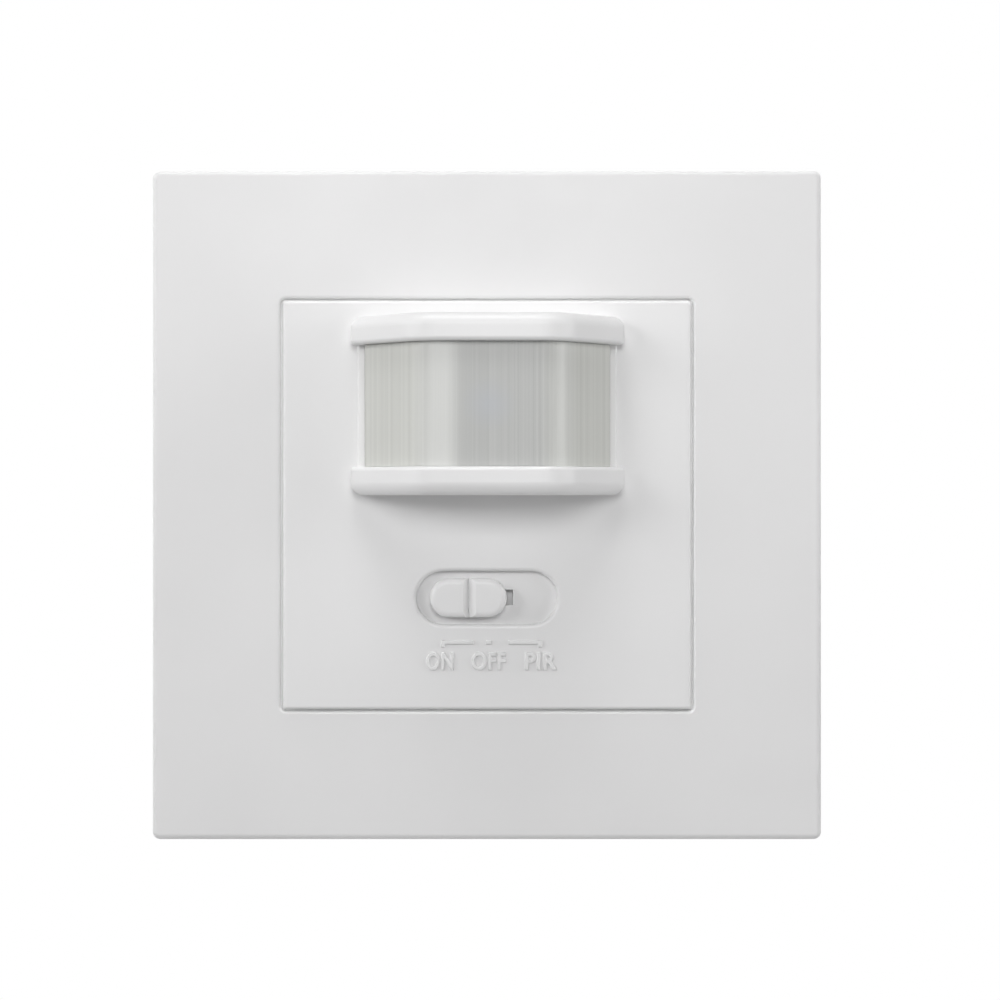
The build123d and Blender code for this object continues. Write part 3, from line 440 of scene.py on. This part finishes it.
def plated_steel(name, colour, rough=0.3, stretch=(1, 1, 14), patch=420.0):
    """Zinc coat with patch crystals in a metre, and faint drawn lines."""
    board = Surface(name)
    lines = board.noise(DRAWN_LINES, roughness=0.6, stretch=stretch)
    settings = {"feature": "F1", "voronoi_dimensions": "3D"}
    sockets = {"Vector": board.place(), "Scale": patch, "Randomness": 1.0}
    crystal = board.parts(board.node("ShaderNodeTexVoronoi", settings, sockets, "Color"))[0]
    cloud = board.noise(CLOUD_FINENESS * patch, detail=2.0)
    tone = CRYSTAL_SHARE * crystal + (1 - CRYSTAL_SHARE) * cloud
    base = board.blend(tone, darker(colour, CRYSTAL_SHADOW), tint(*colour))
    wear = LINE_WEAR * lines + (1 - LINE_WEAR) * crystal
    worn = board.spread(wear, *WEAR_SPAN, rough - BRIGHTER, rough + DULLER)
    normal = board.bump(lines, LINE_DEPTH, strength=0.6)
    return board.shader(Base_Color=base, Metallic=1.0, Roughness=worn, Normal=normal)


PLATED = {
    "zinc_steel": ((0.54, 0.55, 0.56), {}),
    "zinc_strap": ((0.5, 0.51, 0.53), {"rough": 0.42}),
    "claw_steel": ((0.5, 0.51, 0.53), {"rough": 0.34, "stretch": (1, 14, 1), "patch": 700.0}),
    "screw_steel": ((0.54, 0.55, 0.56), {"rough": 0.26, "stretch": (6, 1, 6), "patch": 900.0}),
    "nickel_can": ((0.7, 0.69, 0.66), {"rough": 0.2, "stretch": (1, 1, 1), "patch": 700.0}),
}
for name, (colour, changes) in PLATED.items():
    finishes[name] = plated_steel(name, colour, **changes)
print("plated:", ", ".join(PLATED))

# %% Dull brass
TARNISH_PATCHES = 260.0
TARNISH_SPAN = (0.38, 0.66)
TARNISH_SHADOW = 0.7
CUT_LINES = 1400.0
CUT_DEPTH = 0.008 * MM
BRASS_ROUGHNESS = (0.24, 0.42)


def dull_brass(name, colour):
    """Cut brass with darker handling patches."""
    board = Surface(name)
    patches = board.noise(TARNISH_PATCHES, detail=4.0, roughness=0.6)
    clean = board.spread(patches, *TARNISH_SPAN)
    base = board.blend(clean, darker(colour, TARNISH_SHADOW), tint(*colour))
    cut = board.noise(CUT_LINES, detail=2.0, stretch=(1, 6, 1))
    rough = board.spread(cut, *NOISE_SPAN, *BRASS_ROUGHNESS)
    normal = board.bump(cut, CUT_DEPTH, strength=0.6)
    return board.shader(Base_Color=base, Metallic=1.0, Roughness=rough, Normal=normal)


finishes["brass"] = dull_brass("brass", (0.72, 0.55, 0.26))
print("metals ready")

# %% [markdown]
# Circuit boards. Glass cloth is pressed with resin and painted with a coloured mask, and
# the threads show through it as a faint square weave. A picture of the cloth could be
# laid on, but two wave patterns, one along each thread, give it at any size: where both
# are high, a thread of one direction crosses one of the other.

# %% Boards
WEAVE_DEPTH = 0.006 * MM
WEAVE_SHARE = 0.5
LAMINATE_SHADOW = 0.72
LAMINATE_CLOUDS = 240.0


def laminate(name, mask, fineness=1000.0):
    """Glass cloth under a coloured mask, whose threads show as a faint square weave.

    fineness is the scale of the waves: the threads lie 0.314 / fineness metres apart.
    """
    board = Surface(name)
    sockets = {"Vector": board.place(), "Scale": fineness, "Distortion": 0.4}
    threads = []
    for axis in ("X", "Z"):
        settings = {"wave_type": "BANDS", "bands_direction": axis}
        threads.append(board.node("ShaderNodeTexWave", settings, sockets, "Fac"))
    weave = threads[0] * threads[1]
    cloud = board.spread(board.noise(LAMINATE_CLOUDS), *NOISE_SPAN)
    tone = WEAVE_SHARE * weave + (1 - WEAVE_SHARE) * cloud
    base = board.blend(tone, darker(mask, LAMINATE_SHADOW), tint(*mask))
    normal = board.bump(weave, WEAVE_DEPTH, strength=0.7)
    return board.shader(Base_Color=base, Roughness=0.38, Normal=normal, IOR=PLASTIC_IOR)


finishes["board_laminate"] = laminate("board_laminate", (0.045, 0.22, 0.10))
finishes["brown_laminate"] = laminate("brown_laminate", (0.34, 0.22, 0.12), 555.5556)
print("boards ready")

# %% [markdown]
# Housings of the works. The shell in the wall, the clamps' block and the components on the
# boards are moulded, cast or dipped in resins of their usual colours. Each could have a
# material of its own making, but all are plastics, so they share the satin plastic and
# differ in their numbers: a chip is matt and fine, a varistor's coat is glossy and lumpy.

# %% Coloured housings of the works
# Each row: colour, share kept by the darkest clouds, roughness, depth of the skin in mm,
# and the pits and the clouds in a metre.
HOUSINGS = {
    "grey_plastic": ((0.55, 0.56, 0.57), 0.94, 0.5, 0.008, 3000.0, 90.0),
    "housing_plastic": ((0.68, 0.68, 0.67), 0.95, 0.55, 0.02, 2200.0, 60.0),
    "block_plastic": ((0.62, 0.63, 0.62), 0.94, 0.5, 0.014, 2600.0, 120.0),
    "black_plastic": ((0.028, 0.028, 0.03), 0.8, 0.45, 0.01, 3000.0, 200.0),
    "chip_black": ((0.03, 0.03, 0.033), 0.8, 0.6, 0.01, 5000.0, 300.0),
    "relay_blue": ((0.07, 0.2, 0.5), 0.86, 0.32, 0.006, 2400.0, 110.0),
    "film_yellow": ((0.74, 0.57, 0.1), 0.9, 0.34, 0.006, 2400.0, 160.0),
    "sleeve_black": ((0.035, 0.035, 0.06), 0.8, 0.3, 0.012, 900.0, 200.0),
    "varistor_red": ((0.5, 0.12, 0.07), 0.85, 0.28, 0.03, 700.0, 260.0),
    "resistor_green": ((0.28, 0.35, 0.23), 0.85, 0.7, 0.02, 2600.0, 300.0),
    "trimmer_blue": ((0.06, 0.17, 0.5), 0.88, 0.35, 0.006, 3000.0, 200.0),
    "rotor_white": ((0.74, 0.74, 0.72), 0.93, 0.4, 0.006, 3000.0, 300.0),
    "led_red": ((0.6, 0.05, 0.04), 0.8, 0.14, 0.002, 3000.0, 300.0),
    "filter_window": ((0.07, 0.08, 0.11), 0.7, 0.12, 0.001, 3000.0, 500.0),
}
for name, row in HOUSINGS.items():
    finishes[name] = satin_plastic(name, *row)
print("finishes so far:", len(finishes))

# %% [markdown]
# The photocell. It is a pale ceramic disc with a dark track that winds across it under
# clear resin, and it tells the switch whether the room is dark. The track could be a thin
# strip of its own, but it is as flat as print, so bands of a triangle wave draw it on the
# disc, with a slight step in the bump.

# %% Photocell with its track
cell_low, cell_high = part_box("photocell")
cell_middle = (cell_low + cell_high) / 2
TRACK_FINENESS = 180.0  # as of the boards' waves: the bands lie 1.7 mm apart
TRACK_EDGE = (0.45, 0.6)
TRACK_RISE = 0.03 * MM
CERAMIC = tint(0.72, 0.55, 0.4)
TRACK = tint(0.45, 0.14, 0.05)


def photocell_face():
    """A pale ceramic disc crossed by a dark track under clear resin."""
    board = Surface("photocell_face")
    where = board.place(middle=(cell_middle.x, 0, cell_middle.z))
    settings = {"wave_type": "BANDS", "bands_direction": "Z", "wave_profile": "TRI"}
    sockets = {"Vector": where, "Scale": TRACK_FINENESS, "Distortion": 0.0}
    bars = board.node("ShaderNodeTexWave", settings, sockets, "Fac")
    track = board.spread(bars, *TRACK_EDGE)
    base = board.blend(track, CERAMIC, TRACK)
    normal = board.bump(track, TRACK_RISE, strength=0.5)
    return board.shader(Base_Color=base, Roughness=0.25, Normal=normal, IOR=PLASTIC_IOR)


finishes["photocell_face"] = photocell_face()
print("photocell is", round((cell_high.x - cell_low.x) / MM, 1), "mm wide")

# %% [markdown]
# Every solid part keeps its mesh and its place, and only gets the finish that the record
# names for it. The finishes could be handed out by hand, but the record holds them by
# part already, so a part that is added there is dressed here too.

# %% Dress the solid parts
slots = {part["node"]: part["material_slot"] for part in frame["record"]["subparts"]}
for name, part in frame["nodes"].items():
    part.data.materials.clear()
    part.data.materials.append(finishes[slots[name]])
print("dressed", len(slots), "parts in", len(set(slots.values())), "finishes")

# %% [markdown]
# Raised words. Under the knob the mould leaves the three positions, ON, OFF and PIR for
# the sensor, a quarter of a millimetre high and in the cover's own colour, so only their
# edges catch the light. They could be painted by a bump, but a bump has no sides, so they
# are real letters: text turned into a mesh, with a rounded edge, stood on the cover.

# %% Link a mesh that is already in its place
def linked(name, mesh, finish):
    """A new object for a mesh whose place is already in its points."""
    made = bpy.data.objects.new(name, mesh)
    bpy.context.scene.collection.objects.link(made)
    made.data.materials.clear()
    made.data.materials.append(finish)
    return made


COVER_PROUD = 0.3 * MM
cover_front = plate_front - COVER_PROUD
print("the cover's front is at", round(cover_front / MM, 2), "mm")

# %% Make a raised word
CAPITAL_SHARE = 0.7  # of a letter's size, the height of its capitals
LETTER_SPACING = 1.1
EDGE_STEPS = 2
CURVE_STEPS = 6
UPRIGHT = Matrix.Rotation(math.radians(90), 4, "X")
TURNED_ROUND = Matrix.Rotation(math.radians(180), 4, "Z")


def letter_mesh(name, word, relief):
    """A word as a flat mesh with rounded edges; relief is its height, rise and slope."""
    height, rise, slope = relief
    curve = bpy.data.curves.new(f"{name}_line", "FONT")
    curve.body = word
    curve.size = (height - 2 * slope) / CAPITAL_SHARE
    curve.space_character = LETTER_SPACING
    curve.align_x = "CENTER"
    curve.extrude = rise - slope
    curve.bevel_depth = slope
    curve.bevel_resolution = EDGE_STEPS
    curve.resolution_u = CURVE_STEPS
    drawn = bpy.data.objects.new(f"{name}_line", curve)
    bpy.context.scene.collection.objects.link(drawn)
    bpy.context.view_layer.update()
    mesh = bpy.data.meshes.new_from_object(drawn)
    bpy.data.objects.remove(drawn)
    return mesh


def raised_word(name, word, place, width_share, relief, finish, from_behind=False):
    """One word, centred at its place and sunk by half into the face that carries it."""
    mesh = letter_mesh(name, word, relief)
    stand = UPRIGHT @ Matrix.Diagonal((width_share, 1, 1, 1))
    if from_behind:
        stand = TURNED_ROUND @ stand
    shape = bmesh.new()
    shape.from_mesh(mesh)
    bmesh.ops.transform(shape, matrix=stand, verts=shape.verts)
    levels = [vert.co.z for vert in shape.verts]
    lift = Vector(place) - Vector((0, 0, (min(levels) + max(levels)) / 2))
    bmesh.ops.translate(shape, vec=lift, verts=shape.verts)
    shape.to_mesh(mesh)
    shape.free()
    word_piece = linked(name, mesh, finishes[finish])
    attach(word_piece, "base")
    return word_piece


print("letters have", EDGE_STEPS, "steps round an edge and", CURVE_STEPS, "along a curve")

# %% Stand words on the cover
LETTER_SLOPE = 0.12 * MM
LETTER_RELIEF = (2.25 * MM, 0.26 * MM, LETTER_SLOPE)
WORD_LEVEL = -19.1 * MM
# Each word's middle, and the share of the letters' own width that it keeps.
WORDS = {"ON": (-5.75 * MM, 0.72), "OFF": (0.17 * MM, 0.78), "PIR": (6.44 * MM, 0.9)}

for word, (x, share) in WORDS.items():
    place = (x, cover_front, WORD_LEVEL)
    piece = raised_word(f"word_{word.lower()}", word, place, share, LETTER_RELIEF, "white_cover")
    print(word, [round(side / MM, 2) for side in piece.dimensions])

# %% [markdown]
# Marks of the clamps. The block behind has its usual marks, L and N for the supply and L1
# for the lamp. They are made as the words are, only lower and turned round, because they
# are read from behind. A mark could stand at a measured place, but it belongs to its own
# clamp, so it takes its place from the box of that clamp's screw.

# %% Mark the terminals
block_low, block_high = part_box("terminal_block")
MARK_HEIGHT = 1.7 * MM
MARK_RELIEF = (MARK_HEIGHT, 0.16 * MM, 0.06 * MM)
MARK_WIDTH_SHARE = 0.8
MARK_MARGIN = 0.5 * MM
mark_level = block_low.z + MARK_MARGIN + MARK_HEIGHT / 2
for number, mark in enumerate(("L", "N", "L1"), start=1):
    name = f"terminal_mark_{number}"
    screw_low, screw_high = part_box(f"terminal_screw_{number}")
    place = ((screw_low.x + screw_high.x) / 2, block_high.y, mark_level)
    raised_word(name, mark, place, MARK_WIDTH_SHARE, MARK_RELIEF, "block_plastic", True)
print("terminals marked at", round(mark_level / MM, 1), "mm")

# %% [markdown]
# The brackets are thin raised lines over the words, with a leg down to each outer word and
# a dot in the middle, a third of a millimetre high. They could be cut from one flat
# outline, but a straight line is a bar: each is drawn from a cube, sunk by half into the
# cover, and its front edges are bevelled.

# %% Make a raised bar
LINE_THICKNESS = 0.48 * MM
LINE_RISE = 0.32 * MM
BEVEL = {"segments": 2, "affect": "EDGES", "profile": 0.5, "material": -1}


def raised_bar(name, x_ends, z_ends):
    """A thin bar on the cover, softened along its front."""
    shape = bmesh.new()
    bmesh.ops.create_cube(shape, size=1.0)
    size = (x_ends[1] - x_ends[0], 2 * LINE_RISE, z_ends[1] - z_ends[0])
    bmesh.ops.scale(shape, vec=size, verts=shape.verts)
    middle = Vector((sum(x_ends) / 2, cover_front, sum(z_ends) / 2))
    bmesh.ops.translate(shape, vec=middle, verts=shape.verts)
    front = [edge for edge in shape.edges if all(vert.co.y < middle.y for vert in edge.verts)]
    bmesh.ops.bevel(shape, geom=front, offset=LETTER_SLOPE, **BEVEL)
    mesh = bpy.data.meshes.new(name)
    shape.to_mesh(mesh)
    shape.free()
    bar = linked(name, mesh, finishes["white_cover"])
    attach(bar, "base")


print("brackets stand", LINE_RISE / MM, "mm high")

# %% Draw the brackets
BRACKET_LEVEL = -16.8 * MM
BRACKETS = {"on": (-5.4 * MM, -1.6 * MM), "pir": (6.5 * MM, 2.6 * MM)}  # leg, inner end
LEG_LENGTH = 0.6 * MM
DOT_PLACE = 0.2 * MM
DOT_WIDTH_SHARE = 1.4  # of the line's thickness

half = LINE_THICKNESS / 2
dot_half = DOT_WIDTH_SHARE * half
level = (BRACKET_LEVEL - half, BRACKET_LEVEL + half)
leg_ends = (BRACKET_LEVEL - LEG_LENGTH, BRACKET_LEVEL + half)
for side, (leg_place, inner_end) in BRACKETS.items():
    raised_bar(f"bracket_{side}", sorted((leg_place, inner_end)), level)
    raised_bar(f"bracket_{side}_leg", (leg_place - half, leg_place + half), leg_ends)
raised_bar("bracket_dot", (DOT_PLACE - dot_half, DOT_PLACE + dot_half), level)
print("brackets:", ", ".join(BRACKETS), "and the dot")

# %% [markdown]
# The setting. The photograph shows one even white round the object. A white wall and floor
# lit that bright would throw light back at the plate and wash out its rims. So both ask
# what kind of ray looks at them: the camera, a reflection or a view through glass sees
# plain white, and the light that falls on the object sees only a pale matt floor and an
# almost dark world. The floor lies well below, and still takes the object's shadow.

# %% White only where it is seen
WHITE = grey(1.0)
SEEN_STRENGTH = 1.0
SHARE, LIT, SEEN = 0, 1, 2  # the sockets of a Mix Shader


def white_where_seen(board, lit, seen):
    """One shader for the lighting, the other for the camera, reflections and glass."""
    camera_ray, glossy_ray, through_ray = (
        board.node("ShaderNodeLightPath", {}, {}, f"Is {kind} Ray")
        for kind in ("Camera", "Glossy", "Transmission")
    )
    rays = camera_ray + glossy_ray + through_ray
    share = board.node("ShaderNodeClamp", {}, {"Value": rays})
    sockets = {SHARE: share, LIT: lit, SEEN: seen}
    return board.show(board.node("ShaderNodeMixShader", {}, sockets))


print("white is seen at a strength of", SEEN_STRENGTH)

# %% Floor
FLOOR_DROP = 0.3
FLOOR_WIDTH = 6.0
FLOOR_PAINT = grey(0.8)

low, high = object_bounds()
floor_level = low.z - FLOOR_DROP
shape = bmesh.new()
bmesh.ops.create_grid(shape, x_segments=1, y_segments=1, size=FLOOR_WIDTH / 2)
bmesh.ops.translate(shape, vec=(0, 0, floor_level), verts=shape.verts)
floor_mesh = bpy.data.meshes.new("floor")
shape.to_mesh(floor_mesh)
shape.free()

board = Surface("stage_white")
paint = board.node("ShaderNodeBsdfDiffuse", {}, {"Color": FLOOR_PAINT, "Roughness": 0.0})
glow = board.node("ShaderNodeEmission", {}, {"Color": WHITE, "Strength": SEEN_STRENGTH})
floor = linked("floor", floor_mesh, white_where_seen(board, paint, glow))
print("floor at", round(floor_level, 3), "m, the object's top at", round(high.z, 3), "m")

# %% World
WORLD_GREY = grey(0.9)
WORLD_STRENGTH = 0.01

world = bpy.data.worlds.new("studio")
bpy.context.scene.world = world
board = Board(world, "ShaderNodeOutputWorld")
dim = board.node("ShaderNodeBackground", {}, {"Color": WORLD_GREY, "Strength": WORLD_STRENGTH})
bright = board.node("ShaderNodeBackground", {}, {"Color": WHITE, "Strength": SEEN_STRENGTH})
white_where_seen(board, dim, bright)
print("the world lights the object with", WORLD_STRENGTH, "of its white")

# %% [markdown]
# The lamps. The object is lit by soft square panels. One panel could do, but then either
# the hood's shadow runs down to the knob or the plate is even from top to bottom. So a
# near panel above grazes the plate, one over the camera and a far one from the left fill
# the shadow up to the hood, and two weak ones from the sides light the plate's rims.
# Three wide ones stand behind. They are wide because bare metal mirrors them: a small
# lamp of the same power would burn a white patch into the zinc.

# %% Lamps
OBJECT_MIDDLE = Vector((0, 0, 0))
LAMPS = {  # place and width in metres, power in watts
    "key_above": ((-0.04, -0.16, 0.42), 0.24, 1.0),
    "key_camera": ((0.0, -0.34, 0.1), 0.12, 0.355),
    "far_left": ((-1.4, -1.2, 0.5), 0.5, 7.4),
    "edge_left": ((-0.5, -0.16, 0.16), 0.3, 0.75),
    "edge_right": ((0.5, -0.2, 0.1), 0.3, 0.94),
    "back_right": ((0.7, 0.75, 0.4), 0.9, 3.4),
    "back_left": ((-0.75, 0.7, 0.3), 0.9, 3.2),
    "back_top": ((0.0, 0.9, 0.75), 0.9, 3.4),
}


def soft_panel(name, place, width, power):
    """A square lamp that looks at the object's middle."""
    data = bpy.data.lights.new(name, "AREA")
    data.shape = "SQUARE"
    data.size = width
    data.energy = power
    lamp = bpy.data.objects.new(name, data)
    bpy.context.scene.collection.objects.link(lamp)
    lamp.location = place
    aim = OBJECT_MIDDLE - Vector(place)
    lamp.rotation_euler = aim.to_track_quat("-Z", "Y").to_euler()


for name, (place, width, power) in LAMPS.items():
    soft_panel(name, place, width, power)
print("lamps:", ", ".join(LAMPS))
